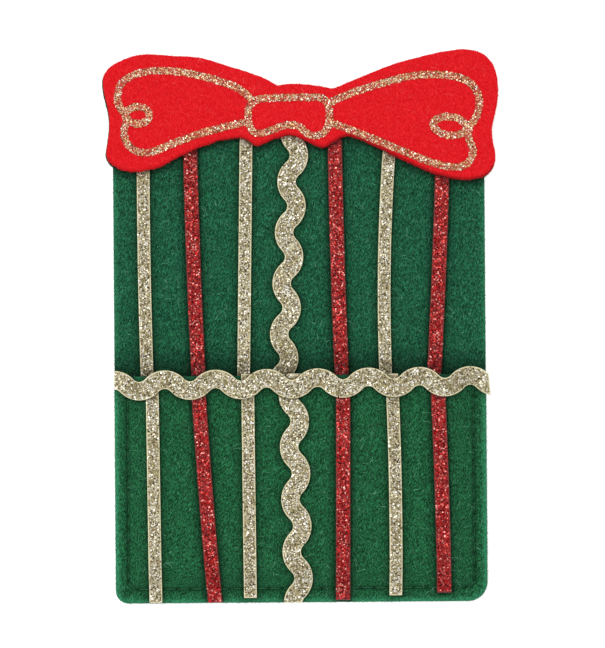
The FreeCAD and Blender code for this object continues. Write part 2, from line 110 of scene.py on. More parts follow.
def floorMaterial(look):
    # White to the eye. From below it is clear, also for light on the back of what lies on it
    material = bpy.data.materials.new("paleFloor")
    material.use_nodes = True
    tree = material.node_tree
    tree.nodes.clear()
    path = tree.nodes.new("ShaderNodeLightPath").outputs
    seen = mathNode(tree, "MAXIMUM", path["Is Camera Ray"], path["Is Glossy Ray"])
    seen = mathNode(tree, "MAXIMUM", seen, path["Is Transmission Ray"])
    strength = mathNode(tree, "MULTIPLY", seen, look["floorGlow"])
    glow = addNode(tree, "ShaderNodeEmission", {"Strength": strength})
    pale = addNode(tree, "ShaderNodeBsdfDiffuse", {"Color": look["floorColour"]})
    above = addNode(tree, "ShaderNodeAddShader", [pale[0], glow[0]])
    near = mathNode(tree, "LESS_THAN", path["Ray Length"], look["clearWithin"])
    behind = tree.nodes.new("ShaderNodeNewGeometry").outputs["Backfacing"]
    below = mathNode(tree, "MAXIMUM", behind, near)
    clear = tree.nodes.new("ShaderNodeBsdfTransparent").outputs
    shown = addNode(tree, "ShaderNodeMixShader", [below, above[0], clear[0]])
    addNode(tree, "ShaderNodeOutputMaterial", {"Surface": shown[0]})
    return material


def makeStage(look):
    half = look["floorSize"] / 2
    corners = [(-half, -half), (half, -half), (half, half), (-half, half)]
    mesh = bpy.data.meshes.new("floor")
    mesh.from_pydata([(x, y, look["floorLevel"]) for x, y in corners], [], [(0, 1, 2, 3)])
    mesh.materials.append(floorMaterial(look))
    floor = newObject("floor", mesh)
    world = bpy.data.worlds.new("studio")
    world.use_nodes = True
    back = world.node_tree.nodes["Background"]
    back.inputs["Color"].default_value = look["worldColour"]
    back.inputs["Strength"].default_value = look["worldStrength"]
    bpy.context.scene.world = world
    lampData = bpy.data.lights.new("softLamp", "AREA")
    lampData.size = look["lampSize"]
    lampData.energy = look["lampPower"]
    lamp = newObject("softLamp", lampData)
    lamp.location = look["lampPlace"]
    lamp.rotation_euler = (-lamp.location).to_track_quat("-Z", "Y").to_euler()
    bpy.context.scene.view_settings.view_transform = "Standard"


# Outlines, read from the frame's own solids, and sheets that fill them
sheetLook = {
    "facingUp": 0.3,  # a face whose normal rises by more than this belongs to a solid's front
    "clearOfEdge": 0.6,  # room round the outline and round fine points, in steps
    "fineOfEdge": 0.3,  # the fine points' own room from the outline
}


def planLoops(node, weld=0.002 * mm):
    # closed outlines of a solid's front, the largest first
    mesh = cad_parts[node].data
    mesh.calc_loop_triangles()
    spots = np.empty(len(mesh.vertices) * 3)
    mesh.vertices.foreach_get("co", spots)
    spots = spots.reshape(-1, 3)
    corners = np.empty(len(mesh.loop_triangles) * 3, dtype=np.int32)
    mesh.loop_triangles.foreach_get("vertices", corners)
    corners = corners.reshape(-1, 3)
    a, b, c = (spots[corners[:, i]] for i in range(3))
    facing = np.cross(b - a, c - a)
    upward = facing[:, 2] / np.maximum(np.linalg.norm(facing, axis=1), 1e-20)
    cells = np.round(spots[:, :2] / weld).astype(np.int64)
    grid, index = np.unique(cells, axis=0, return_inverse=True)
    front = index.ravel()[corners[upward > sheetLook["facingUp"]]]
    sides = {(int(s), int(e)) for tri in front for s, e in zip(tri, np.roll(tri, -1)) if s != e}
    following = {s: e for s, e in sorted(sides) if (e, s) not in sides}
    loops = []
    while following:
        start = min(following)
        loop, spot = [start], following.pop(start)
        while spot != start:
            loop.append(spot)
            spot = following.pop(spot)
        loops.append(grid[loop] * weld)
    return sorted(loops, key=lambda loop: abs(loopArea(loop)), reverse=True)


def loopArea(loop):
    x, y = loop[:, 0], loop[:, 1]
    return float(np.dot(x, np.roll(y, -1)) - np.dot(y, np.roll(x, -1))) / 2


def evenLoop(loop, step, corner=math.radians(38)):
    # the same outline with even steps, its sharp corners kept
    ahead = np.roll(loop, -1, axis=0) - loop
    heading = np.arctan2(ahead[:, 1], ahead[:, 0])
    turn = np.abs((heading - np.roll(heading, 1) + math.pi) % (2 * math.pi) - math.pi)
    sharp = list(np.flatnonzero(turn > corner)) or [0]
    loop = np.roll(loop, -sharp[0], axis=0)
    stops = [s - sharp[0] for s in sharp] + [len(loop)]
    closed = np.vstack([loop, loop[:1]])
    runs = []
    for first, last in zip(stops, stops[1:]):
        run = closed[first:last + 1]
        along = np.concatenate([[0], np.cumsum(np.linalg.norm(np.diff(run, axis=0), axis=1))])
        count = max(1, int(round(along[-1] / step)))
        at = np.linspace(0, along[-1], count + 1)[:-1]
        runs.append(np.column_stack([np.interp(at, along, run[:, i]) for i in range(2)]))
    return np.vstack(runs)


def outward(loop):
    ahead = np.roll(loop, -1, axis=0) - np.roll(loop, 1, axis=0)
    ahead /= np.linalg.norm(ahead, axis=1)[:, None]
    return np.column_stack([ahead[:, 1], -ahead[:, 0]])


def inside(spots, loops, chunk=4000):
    hit = np.zeros(len(spots), dtype=bool)
    for loop in loops:
        x1, y1 = loop[:, 0], loop[:, 1]
        x2, y2 = np.roll(x1, -1), np.roll(y1, -1)
        slope = (x2 - x1) / np.where(y2 == y1, 1e-30, y2 - y1)
        for first in range(0, len(spots), chunk):
            x, y = spots[first:first + chunk, :1], spots[first:first + chunk, 1:]
            crossed = ((y1 > y) != (y2 > y)) & (x < slope * (y - y1) + x1)
            hit[first:first + chunk] ^= crossed.sum(axis=1) % 2 == 1
    return hit


def nearest(spots, others):
    tree = kdtree.KDTree(len(others))
    for i, spot in enumerate(others):
        tree.insert((spot[0], spot[1], 0), i)
    tree.balance()
    return np.array([tree.find((x, y, 0))[2] for x, y in spots])


def ripple(spots, size, seed):
    # smooth unevenness, about -1 to 1
    return np.array([noise.noise(Vector((x / size, y / size, seed))) for x, y in spots])


def smoothstep(value):
    value = np.clip(value, 0, 1)
    return value * value * (3 - 2 * value)


def outlineGap(plan, nodes, step=0.15 * mm):
    # distance to the nearest outline of those pieces, negative underneath them
    loops = [outlines[node][0] for node in nodes]
    gap = nearest(plan, np.vstack([evenLoop(loop, step) for loop in loops]))
    under = np.zeros(len(plan), dtype=bool)
    for loop in loops:
        under |= inside(plan, [loop])
    return np.where(under, -gap, gap)


def besideOutlines(nodes, asides, step):
    # rows of points beside the outlines of those pieces
    rows = []
    for node in nodes:
        loop = evenLoop(outlines[node][0], step)
        rows += [loop + outward(loop) * aside for aside in asides]
    return np.vstack(rows)


def newObject(name, data):
    piece = bpy.data.objects.new(name, data)
    bpy.context.scene.collection.objects.link(piece)
    return piece


def fillPlan(insets, step, fine):
    # an even mesh inside the outlines, closer at the fine points, and where each outline point went
    border = np.vstack(insets)
    low, high = border.min(axis=0), border.max(axis=0)
    across = np.arange(low[0], high[0], step)
    up = np.arange(low[1], high[1], step * math.sqrt(3) / 2)
    gridX, gridY = np.meshgrid(across, up)
    gridX[1::2] += step / 2
    field = np.column_stack([gridX.ravel(), gridY.ravel()])
    field = field[inside(field, insets)]
    room = sheetLook["clearOfEdge"] * step
    field = field[nearest(field, border) > room]
    if fine is not None:
        fine = fine[inside(fine, insets)]
        fine = fine[nearest(fine, border) > sheetLook["fineOfEdge"] * step]
        field = np.vstack([field[nearest(field, fine) > room], fine])
    edges, first = [], 0
    for inset in insets:
        count = len(inset)
        edges += [(first + i, first + (i + 1) % count) for i in range(count)]
        first += count
    spots = [Vector((x / mm, y / mm)) for x, y in np.vstack([border, field])]
    flat, _, faces, origin, _, _ = delaunay_2d_cdt(spots, edges, [], 1, 1e-6)
    moved = {old: new for new, olds in enumerate(origin) for old in olds}
    plan = np.array([(v.x * mm, v.y * mm) for v in flat])
    faces = np.array(faces)
    if len(insets) > 1:
        faces = faces[inside(plan[faces].mean(axis=1), insets)]
    a, b, c = (plan[faces[:, i]] for i in range(3))
    (bx, by), (cx, cy) = (b - a).T, (c - a).T
    flipped = bx * cy - by * cx < 0
    faces[flipped] = faces[flipped][:, ::-1]
    return plan, faces, moved


def sheetPiece(name, loops, step, topAt, bottomAt, edgeRound, edgeRings, marks, edgeFade=0.0, fine=None):
    # A closed sheet between two surfaces, with its cut edge rounded over. The attribute rim is 1 at
    # the cut edge and fades out inwards, and fine holds closer points for what a step would miss.
    # Each mark is a further attribute, given as two functions of the plan, for the front and the back
    rims = [evenLoop(loop, step) for loop in loops]
    outs = [outward(rim) for rim in rims]
    insets = [rim - out * edgeRound for rim, out in zip(rims, outs)]
    plan, faces, moved = fillPlan(insets, step, fine)
    count = len(plan)
    topZ, bottomZ = topAt(plan), bottomAt(plan)
    verts = [np.column_stack([plan, topZ]), np.column_stack([plan, bottomZ])]
    polys = faces.tolist() + (faces[:, ::-1] + count).tolist()
    total, first, ringSource, ringReach = 2 * count, 0, [], []
    quarter = np.linspace(0, math.pi / 2, edgeRings + 1)[1:]
    for rim, out, inset in zip(rims, outs, insets):
        size = len(rim)
        ids = np.array([moved[first + i] for i in range(size)])
        first += size
        rings = [ids]
        upper, lower = topZ[ids], bottomZ[ids]
        bend = np.minimum(edgeRound, (upper - lower) / 2)
        levels = [(math.sin(t), upper - bend * (1 - math.cos(t))) for t in quarter]
        levels += [(math.sin(t), lower + bend * (1 - math.cos(t))) for t in quarter[::-1]]
        for i, (reach, level) in enumerate(levels):
            verts.append(np.column_stack([inset + out * (edgeRound * reach), level]))
            rings.append(np.arange(total, total + size))
            ringSource.append(ids + (count if i >= edgeRings else 0))
            ringReach.append(np.full(size, reach))
            total += size
        rings.append(ids + count)
        for upperRing, lowerRing in zip(rings, rings[1:]):
            nextUp, nextLow = np.roll(upperRing, -1), np.roll(lowerRing, -1)
            polys += np.column_stack([upperRing, lowerRing, nextLow, nextUp]).tolist()
    mesh = bpy.data.meshes.new(name)
    mesh.from_pydata(np.vstack(verts).tolist(), [], polys)
    rimShare = np.ones(total)
    rimShare[:2 * count] = 0
    if edgeFade:
        fromEdge = np.tile(nearest(plan, np.vstack(insets)) + edgeRound, 2)
        fromEdge = np.concatenate([fromEdge, edgeRound * (1 - np.concatenate(ringReach))])
        rimShare = smoothstep(1 - fromEdge / edgeFade)
    source = np.concatenate([np.arange(2 * count)] + ringSource)
    values = {"rim": rimShare}
    for label, (frontAt, backAt) in marks.items():
        values[label] = np.concatenate([frontAt(plan), backAt(plan)])[source]
    for label, value in values.items():
        mesh.attributes.new(label, "FLOAT", "POINT").data.foreach_set("value", value)
    mesh.polygons.foreach_set("use_smooth", [True] * len(mesh.polygons))
    mesh.update()
    return newObject(name, mesh)


# Nodes of shader and geometry trees
def newTree(kind, name, inputs, outputs):
    tree = bpy.data.node_groups.new(name, kind)
    for way, sockets in (("INPUT", inputs), ("OUTPUT", outputs)):
        for label, holds in sockets.items():
            tree.interface.new_socket(label, in_out=way, socket_type="NodeSocket" + holds)
    return tree, tree.nodes.new("NodeGroupInput").outputs, tree.nodes.new("NodeGroupOutput").inputs


def floats(*labels):
    return dict.fromkeys(labels, "Float")


def newMaterial(name):
    material = bpy.data.materials.new(name)
    material.use_nodes = True
    tree = material.node_tree
    return material, tree, tree.nodes["Principled BSDF"]


def feed(tree, socket, given):
    if isinstance(given, bpy.types.NodeSocket):
        tree.links.new(given, socket)
    elif given is not None:
        socket.default_value = given


def openSockets(sockets):
    return [socket for socket in sockets if socket.enabled]


def feedAll(tree, node, given):
    # inputs by name, or in order for those that the node's settings leave open
    if isinstance(given, dict):
        pairs = [(node.inputs[label], value) for label, value in given.items()]
    else:
        pairs = zip(openSockets(node.inputs), given)
    for socket, value in pairs:
        feed(tree, socket, value)


def addNode(tree, kind, given, **settings):
    node = tree.nodes.new(kind)
    for label, value in settings.items():
        setattr(node, label, value)
    feedAll(tree, node, given)
    return node.outputs


def mathNode(tree, kind, first, second=None):
    return addNode(tree, "ShaderNodeMath", [first, second], operation=kind)[0]


def mixColour(tree, share, first, second):
    mixed = addNode(tree, "ShaderNodeMix", [share, first, second], data_type="RGBA")
    return openSockets(mixed)[0]


def stretchRange(tree, given, low, high):
    limits = {"Value": given, "From Min": low, "From Max": high}
    return addNode(tree, "ShaderNodeMapRange", limits)[0]


def noiseNode(tree, spot, scale, detail, distortion=0.0):
    given = {"Vector": spot, "Scale": scale, "Detail": detail, "Distortion": distortion}
    return addNode(tree, "ShaderNodeTexNoise", given)["Fac"]


def attribute(tree, name, output="Fac"):
    return addNode(tree, "ShaderNodeAttribute", [], attribute_name=name)[output]


def objectPlace(tree):
    return tree.nodes.new("ShaderNodeTexCoord").outputs["Object"]


def addBump(tree, surface, height, strength, distance):
    given = {"Height": height, "Strength": strength, "Distance": distance}
    feed(tree, surface.inputs["Normal"], addNode(tree, "ShaderNodeBump", given)[0])


# Felt fibres: noise drawn out in several directions, summed
fibreLook = {
    "turns": (-0.26, 0.78, -1.3, 0.26, -0.78, 1.3),  # directions of fibres, in radians from their lean
    "apart": (7 * mm, 0, 11 * mm),  # each direction reads the noise elsewhere
    "stretch": 5,
    "detail": 0.5,
    "distortion": 0.3,
    "meshRange": (2.5, 3.55),  # the sum, from the ground to the topmost fibres
    "meshPower": 1.8,
    "hairTurn": 0.2,
    "hairLine": (0.045, 0.015),
    "hairFade": 0.12,
    "clumpLimits": ((0.5, 0.6), (0.5, 0.4)),  # hairs show on some clumps, or on the others
}
fibreInputs = floats("Fibre Run", "Hair Apart", "Lean", "Spread", "Clump Size")
shadeInputs = floats("Reach", "Depth", "Tail Reach", "Tail Depth")


def turnedNoise(tree, spot, given, turn, scale):
    apart = mathNode(tree, "MULTIPLY", given["Spread"], turn)
    turned = addNode(tree, "ShaderNodeCombineXYZ", {"Z": mathNode(tree, "ADD", apart, given["Lean"])})
    mapping = addNode(tree, "ShaderNodeMapping", {
        "Vector": spot,
        "Location": [away * turn for away in fibreLook["apart"]],
        "Rotation": turned[0],
        "Scale": (1, fibreLook["stretch"], 1),
    }, vector_type="TEXTURE")
    return noiseNode(tree, mapping[0], scale, fibreLook["detail"], fibreLook["distortion"])


def makeFeltFibre(look):
    # A close mesh of short fibres, a few long hairs on it, and broad clumps
    tree, given, out = newTree("ShaderNodeTree", "feltFibre", fibreInputs, floats("Fibre", "Hair", "Clump"))
    spot = objectPlace(tree)
    sizes = [given[label] for label in ("Fibre Run", "Hair Apart", "Clump Size")]
    fine, wide, broad = (mathNode(tree, "DIVIDE", 1.0, size) for size in sizes)
    clump = noiseNode(tree, spot, broad, 2)
    showing = [stretchRange(tree, clump, *limits) for limits in look["clumpLimits"]]
    mesh, hairs = None, None
    for i, turn in enumerate(look["turns"]):
        level = turnedNoise(tree, spot, given, turn, fine)
        mesh = level if mesh is None else mathNode(tree, "ADD", mesh, level)
        level = turnedNoise(tree, spot, given, turn + look["hairTurn"], wide)
        offLine = mathNode(tree, "ABSOLUTE", mathNode(tree, "SUBTRACT", level, 0.5))
        hair = stretchRange(tree, offLine, *look["hairLine"])
        hair = mathNode(tree, "MULTIPLY", hair, 1 - look["hairFade"] * i)
        hair = mathNode(tree, "MULTIPLY", hair, showing[i % 2])
        hairs = hair if hairs is None else mathNode(tree, "MAXIMUM", hairs, hair)
    mesh = stretchRange(tree, mesh, *look["meshRange"])
    feed(tree, out["Fibre"], mathNode(tree, "POWER", mesh, look["meshPower"]))
    feed(tree, out["Hair"], hairs)
    feed(tree, out["Clump"], clump)
    return tree


def makeContactShade():
    # How much painted shade a spot gets: close beside what lies on it, further out, and by a raised edge
    tree, given, out = newTree("ShaderNodeTree", "paintedContactShade", shadeInputs, floats("Share"))
    apart = mathNode(tree, "MAXIMUM", attribute(tree, "gap"), 0.0)
    lit = mathNode(tree, "SUBTRACT", 1.0, attribute(tree, "shelter"))
    for label, power in (("", 2.0), ("Tail ", 1.0)):
        far = mathNode(tree, "DIVIDE", apart, given[label + "Reach"])
        near = mathNode(tree, "MAXIMUM", mathNode(tree, "SUBTRACT", 1.0, far), 0.0)
        near = mathNode(tree, "POWER", near, power)
        lost = mathNode(tree, "MULTIPLY", near, given[label + "Depth"])
        lit = mathNode(tree, "MULTIPLY", lit, mathNode(tree, "SUBTRACT", 1.0, lost))
    feed(tree, out["Share"], mathNode(tree, "SUBTRACT", 1.0, lit))
    return tree


def paintedShadeColour(tree, colour, look):
    # mixes the look's painted shade colour in, as far as the spot gets painted shade
    share = addNode(tree, "ShaderNodeGroup", look["contact"], node_tree=paintedContactShade)[0]
    return mixColour(tree, share, colour, look["paintedShadeColour"])


feltFinish = {
    "clumpRange": (0.3, 0.7),
    "highlightWool": (1.1, 0.3),  # how far the painted edge highlight follows the fibres, and its least share
    "surface": {"Roughness": 0.95, "Specular IOR Level": 0.15},
    "bumpDistance": 0.1 * mm,
}


def feltMaterial(name, look):
    material, tree, surface = newMaterial(name)
    settings = {label: look[label] for label in fibreInputs}
    fibre = addNode(tree, "ShaderNodeGroup", settings, node_tree=feltFibre)
    clump = stretchRange(tree, fibre["Clump"], *feltFinish["clumpRange"])
    ground = mixColour(tree, clump, look["shade"], look["middle"])
    fibres = mathNode(tree, "MULTIPLY", fibre["Fibre"], look["fibreShare"])
    hairs = mathNode(tree, "MULTIPLY", fibre["Hair"], look["hairShare"])
    colour = mixColour(tree, hairs, mixColour(tree, fibres, ground, look["light"]), look["hair"])
    # painted highlight along the cut edge, kept out where painted shade falls
    unshaded = mathNode(tree, "SUBTRACT", 1.0, attribute(tree, "shelter"))
    edge = mathNode(tree, "MULTIPLY", attribute(tree, "rim"), unshaded)
    follow, least = feltFinish["highlightWool"]
    woolly = mathNode(tree, "ADD", mathNode(tree, "MULTIPLY", fibre["Fibre"], follow), least)
    edge = mathNode(tree, "MULTIPLY", mathNode(tree, "MULTIPLY", edge, woolly), look["edgeHighlightShare"])
    colour = paintedShadeColour(tree, mixColour(tree, edge, colour, look["edge"]), look)
    sheen = {"Sheen Weight": look["sheen"], "Sheen Tint": look["light"]}
    feedAll(tree, surface, {"Base Color": colour, **sheen, **feltFinish["surface"]})
    addBump(tree, surface, fibre["Fibre"], look["bump"], feltFinish["bumpDistance"])
    return material


# Painted shade beside what lies on a surface, close and further out: reach, depth, reach, depth
feltContact = (1.0 * mm, 0.47, 2.5 * mm, 0.38)
trimContact = (1.1 * mm, 0.6, 2.2 * mm, 0.25)
noContact = (1 * mm, 0.0, 2 * mm, 0.0)
greenLook = {
    "shade": paint(3, 40, 26),
    "middle": paint(4, 45, 29),
    "light": paint(48, 138, 94),
    "hair": paint(72, 146, 106),
    # painted highlight colour along the cut edge
    "edge": paint(66, 166, 120),
    # painted shade colour
    "paintedShadeColour": paint(2, 14, 8),
    "Fibre Run": 0.14 * mm,
    "Hair Apart": 1.1 * mm,
    "Lean": -0.22,
    "Spread": 0.5,
    "Clump Size": 2.2 * mm,
    "fibreShare": 0.9,
    "hairShare": 0.12,
    "edgeHighlightShare": 0.4,
    "contact": feltContact,
    "sheen": 0.1,
    "bump": 0.4,
}
pocketGreen = {
    **greenLook,
    "shade": paint(3, 38, 21),
    "middle": paint(4, 43, 24),
    "light": paint(51, 143, 88),
    # a stronger painted highlight along the pocket's cut edge
    "edgeHighlightShare": 0.85,
    "Lean": -0.43,
    "Spread": 0.35,
}
redLook = {
    "shade": paint(206, 3, 14),
    "middle": paint(212, 4, 18),
    "light": paint(250, 42, 50),
    "hair": paint(250, 56, 60),
    # painted highlight colour along the cut edge
    "edge": paint(232, 30, 38),
    # painted shade colour
    "paintedShadeColour": paint(90, 0, 4),
    "Fibre Run": 0.14 * mm,
    "Hair Apart": 1.0 * mm,
    "Lean": 0.0,
    "Spread": 0.4,  # the bow's felt was cut with its fibres mostly upright
    "Clump Size": 2.0 * mm,
    "fibreShare": 0.9,
    "hairShare": 0.12,
    "edgeHighlightShare": 0.2,
    "contact": noContact,
    "sheen": 0.05,
    "bump": 0.3,
}


def flakeMaterial(name, look):
    # Metal flakes, or loose fibres: each has its own tone, stored when it was scattered
    material, tree, surface = newMaterial(name)
    ramp = tree.nodes.new("ShaderNodeValToRGB")
    stops = ramp.color_ramp.elements
    while len(stops) < len(look["tones"]):
        stops.new(0.5)
    for stop, (at, colour) in zip(stops, look["tones"]):
        stop.position = at
        stop.color = colour
    feed(tree, ramp.inputs["Fac"], attribute(tree, "tone"))
    colour = paintedShadeColour(tree, ramp.outputs["Color"], look)
    finish = {"Metallic": look["metallic"], "Roughness": look["roughness"]}
    feedAll(tree, surface, {"Base Color": colour, **finish})
    return material


goldFlakes = {
    "tones": [
        (0.0, paint(44, 36, 20)), (0.2, paint(112, 100, 68)), (0.36, paint(162, 154, 104)),
        (0.55, paint(190, 180, 148)), (0.75, paint(234, 228, 204)), (1.0, paint(255, 255, 251)),
    ],
    "paintedShadeColour": paint(52, 30, 16),
    "contact": trimContact,
    "metallic": 0.7,
    "roughness": 0.32,
}
redFlakes = {
    "tones": [
        (0.0, paint(52, 0, 0)), (0.25, paint(122, 0, 2)), (0.5, paint(168, 14, 14)),
        (0.75, paint(204, 52, 48)), (0.9, paint(230, 104, 96)), (1.0, paint(255, 186, 174)),
    ],
    "paintedShadeColour": paint(50, 0, 2),
    "contact": trimContact,
    "metallic": 0.85,
    "roughness": 0.32,
}
printFlakes = {
    "tones": [
        (0.0, paint(66, 34, 20)), (0.12, paint(136, 80, 48)), (0.26, paint(184, 122, 68)),
        (0.5, paint(226, 186, 128)), (0.78, paint(248, 230, 188)), (1.0, paint(255, 253, 242)),
    ],
    "paintedShadeColour": paint(60, 24, 12),
    "contact": noContact,
    "metallic": 0.7,
    "roughness": 0.32,
}
greenFuzz = {
    "tones": [
        (0.0, paint(14, 66, 42)), (0.5, paint(40, 110, 74)), (0.85, paint(66, 138, 100)),
        (1.0, paint(116, 178, 144)),
    ],
    "paintedShadeColour": paint(2, 18, 10),
    "contact": feltContact,
    "metallic": 0.0,
    "roughness": 0.8,
}
redFuzz = {
    "tones": [
        (0.0, paint(204, 10, 22)), (0.6, paint(232, 32, 40)), (0.95, paint(242, 60, 62)),
        (1.0, paint(250, 110, 106)),
    ],
    "paintedShadeColour": paint(90, 0, 4),
    "contact": noContact,
    "metallic": 0.0,
    "roughness": 0.8,
}


trimFinish = {"grain": 0.5 * mm, "detail": 3, "roughness": 0.6, "bump": (0.5, 0.1 * mm)}


def trimMaterial(name, look):
    # The trim's own body, seen at its pale cut edges and between the flakes
    material, tree, surface = newMaterial(name)
    grain = noiseNode(tree, objectPlace(tree), 1 / trimFinish["grain"], trimFinish["detail"])
    top = mixColour(tree, grain, look["dark"], look["middle"])
    colour = paintedShadeColour(tree, mixColour(tree, attribute(tree, "rim"), top, look["edge"]), look)
    feedAll(tree, surface, {"Base Color": colour, "Roughness": trimFinish["roughness"]})
    addBump(tree, surface, grain, *trimFinish["bump"])
    return material


goldTrim = {
    "dark": paint(116, 98, 62),
    "middle": paint(190, 174, 132),
    "edge": paint(240, 232, 190),
    "paintedShadeColour": paint(60, 38, 22),
    "contact": trimContact,
}
redTrim = {
    "dark": paint(92, 2, 10),
    "middle": paint(160, 22, 26),
    "edge": paint(124, 46, 40),
    "paintedShadeColour": paint(50, 0, 2),
    "contact": trimContact,
}
printGlue = {
    "dark": paint(180, 34, 28),
    "middle": paint(204, 66, 48),
    "edge": paint(190, 44, 38),
    "paintedShadeColour": paint(60, 24, 12),
    "contact": noContact,
}
threadLook = {
    # painted shade and painted light on the twisted plies
    "dark": paint(6, 58, 34),
    "light": paint(40, 126, 82),
    "turns": 7,
    "roughness": 0.6,
    "bump": (0.6, 0.08 * mm),
}


def threadMaterial(name, look):
    # Two-ply sewing thread: its twist runs slantwise along each stitch, its bands painted dark and light as
    # shade and light on the plies
    material, tree, surface = newMaterial(name)
    split = addNode(tree, "ShaderNodeSeparateXYZ", [attribute(tree, "along", "Vector")])
    slant = mathNode(tree, "ADD", mathNode(tree, "MULTIPLY", split["Y"], look["turns"]), split["X"])
    twist = mathNode(tree, "PINGPONG", mathNode(tree, "MULTIPLY", slant, 2), 1)
    colour = mixColour(tree, twist, look["dark"], look["light"])
    feedAll(tree, surface, {"Base Color": colour, "Roughness": look["roughness"]})
    addBump(tree, surface, twist, *look["bump"])
    return material


# Geometry trees
def geometryTree(name, inputs):
    shape = {"Geometry": "Geometry"}
    return newTree("GeometryNodeTree", name, {**shape, **inputs, "Finish": "Material"}, shape)


def seeded(tree, seed, more):
    return addNode(tree, "FunctionNodeIntegerMath", [seed, more])[0]


def randomValue(tree, low, high, seed):
    drawn = addNode(tree, "FunctionNodeRandomValue", [low, high, None, seed], data_type="FLOAT")
    return openSockets(drawn)[0]


def compare(tree, kind, first, second):
    return addNode(tree, "FunctionNodeCompare", [first, second], data_type="FLOAT", operation=kind)[0]


def bothOf(tree, first, second):
    return addNode(tree, "FunctionNodeBooleanMath", [first, second], operation="AND")[0]


def storeValue(tree, geometry, name, value, kind, domain):
    given = [geometry, None, name, value]
    return addNode(tree, "GeometryNodeStoreNamedAttribute", given, data_type=kind, domain=domain)[0]


def vectorMath(tree, kind, first, second):
    return addNode(tree, "ShaderNodeVectorMath", [first, second], operation=kind)[0]


def rimWithin(tree, least, most):
    rim = addNode(tree, "GeometryNodeInputNamedAttribute", {"Name": "rim"}, data_type="FLOAT")["Attribute"]
    return bothOf(tree, compare(tree, "GREATER_EQUAL", rim, least), compare(tree, "LESS_EQUAL", rim, most))


def strewPoints(tree, given, selection):
    wanted = {"Mesh": given["Geometry"], "Selection": selection}
    wanted.update({label: given[label] for label in ("Density", "Seed")})
    return addNode(tree, "GeometryNodeDistributePointsOnFaces", wanted, distribute_method="RANDOM")


def layInstances(tree, given, points, shape, smallest, largest):
    # each with its own tilt, turn, size and tone
    def draw(low, high, more):
        return randomValue(tree, low, high, seeded(tree, given["Seed"], more))

    tilt = given["Tilt"]
    lean = mathNode(tree, "MULTIPLY", tilt, -1.0)
    turns = [draw(lean, tilt, 1), draw(lean, tilt, 2), draw(0.0, 2 * math.pi, 3)]
    turns = addNode(tree, "ShaderNodeCombineXYZ", turns)[0]
    turned = {"Rotation": points["Rotation"], "Rotate By": turns}
    laid = addNode(tree, "GeometryNodeInstanceOnPoints", {
        "Points": points["Points"],
        "Instance": shape,
        "Rotation": addNode(tree, "FunctionNodeRotateRotation", turned, rotation_space="LOCAL")[0],
        "Scale": draw(smallest, largest, 5),
    })
    return storeValue(tree, laid[0], "tone", draw(0.0, 1.0, 7), "FLOAT", "INSTANCE")


def realise(tree, instances):
    return addNode(tree, "GeometryNodeRealizeInstances", {"Geometry": instances})[0]


def setFinish(tree, given, geometry, out):
    finish = {"Geometry": geometry, "Material": given["Finish"]}
    feed(tree, out[0], addNode(tree, "GeometryNodeSetMaterial", finish)[0])


flakeForm = {
    "sides": 6,
    "sizes": (0.6, 1.25),
    "leastLift": 0.01 * mm,
    "leastUpwards": 0.2,  # only the front of a trim has flakes, not its cut edge
    "mostRim": 0.25,
}


def makeScatterFlakes(form):
    # Six-sided glitter flakes over the front of a trim
    labels = floats("Density", "Flake Size", "Tilt", "Lift")
    tree, given, out = geometryTree("scatterFlakes", {**labels, "Seed": "Int"})
    normal = tree.nodes.new("GeometryNodeInputNormal").outputs[0]
    upwards = addNode(tree, "ShaderNodeSeparateXYZ", [normal])["Z"]
    front = compare(tree, "GREATER_THAN", upwards, form["leastUpwards"])
    points = strewPoints(tree, given, bothOf(tree, front, rimWithin(tree, 0.0, form["mostRim"])))
    radius = mathNode(tree, "DIVIDE", given["Flake Size"], 2.0)
    circle = {"Vertices": form["sides"], "Radius": radius}
    flake = addNode(tree, "GeometryNodeMeshCircle", circle, fill_type="NGON")[0]
    laid = layInstances(tree, given, points, flake, *form["sizes"])
    lift = randomValue(tree, form["leastLift"], given["Lift"], seeded(tree, given["Seed"], 6))
    lifted = addNode(tree, "GeometryNodeTranslateInstances", {
        "Instances": laid,
        "Translation": addNode(tree, "ShaderNodeCombineXYZ", {"Z": lift})[0],
        "Local Space": False,
    })
    setFinish(tree, given, realise(tree, lifted[0]), out)
    return tree


fibreForm = {"stops": 4, "sizes": (0.5, 1.5), "curlSize": 1.3 * mm, "curlShares": (1, 1, 0.1)}


def makeScatterFibres(form):
    # Fine loose fibres on felt: short ribbons that lie about and curl, none below the floor
    labels = floats("Density", "Fibre Length", "Fibre Width", "Tilt", "Curl", "Rim Least", "Rim Most")
    tree, given, out = geometryTree("scatterFibres", {**labels, "Seed": "Int"})
    points = strewPoints(tree, given, rimWithin(tree, given["Rim Least"], given["Rim Most"]))
    ribbon = addNode(tree, "GeometryNodeMeshGrid", {
        "Vertices X": form["stops"],
        "Vertices Y": 2,
        "Size X": given["Fibre Length"],
        "Size Y": given["Fibre Width"],
    })
    laid = realise(tree, layInstances(tree, given, points, ribbon["Mesh"], *form["sizes"]))
    spot = tree.nodes.new("GeometryNodeInputPosition").outputs[0]
    curls = {"Vector": spot, "Scale": 1 / form["curlSize"], "Detail": 1}
    wander = addNode(tree, "ShaderNodeTexNoise", curls)["Color"]
    push = vectorMath(tree, "SUBTRACT", wander, (0.5, 0.5, 0.5))
    push = vectorMath(tree, "MULTIPLY", push, form["curlShares"])
    push = vectorMath(tree, "SCALE", push, given["Curl"])
    bent = addNode(tree, "GeometryNodeSetPosition", {"Geometry": laid, "Offset": push})[0]
    level = vectorMath(tree, "MAXIMUM", spot, (-1, -1, 0))
    stopped = addNode(tree, "GeometryNodeSetPosition", {"Geometry": bent, "Position": level})[0]
    setFinish(tree, given, stopped, out)
    return tree


stitchForm = {"Segments": 8, "Rings": 7, "Radius": 0.5}


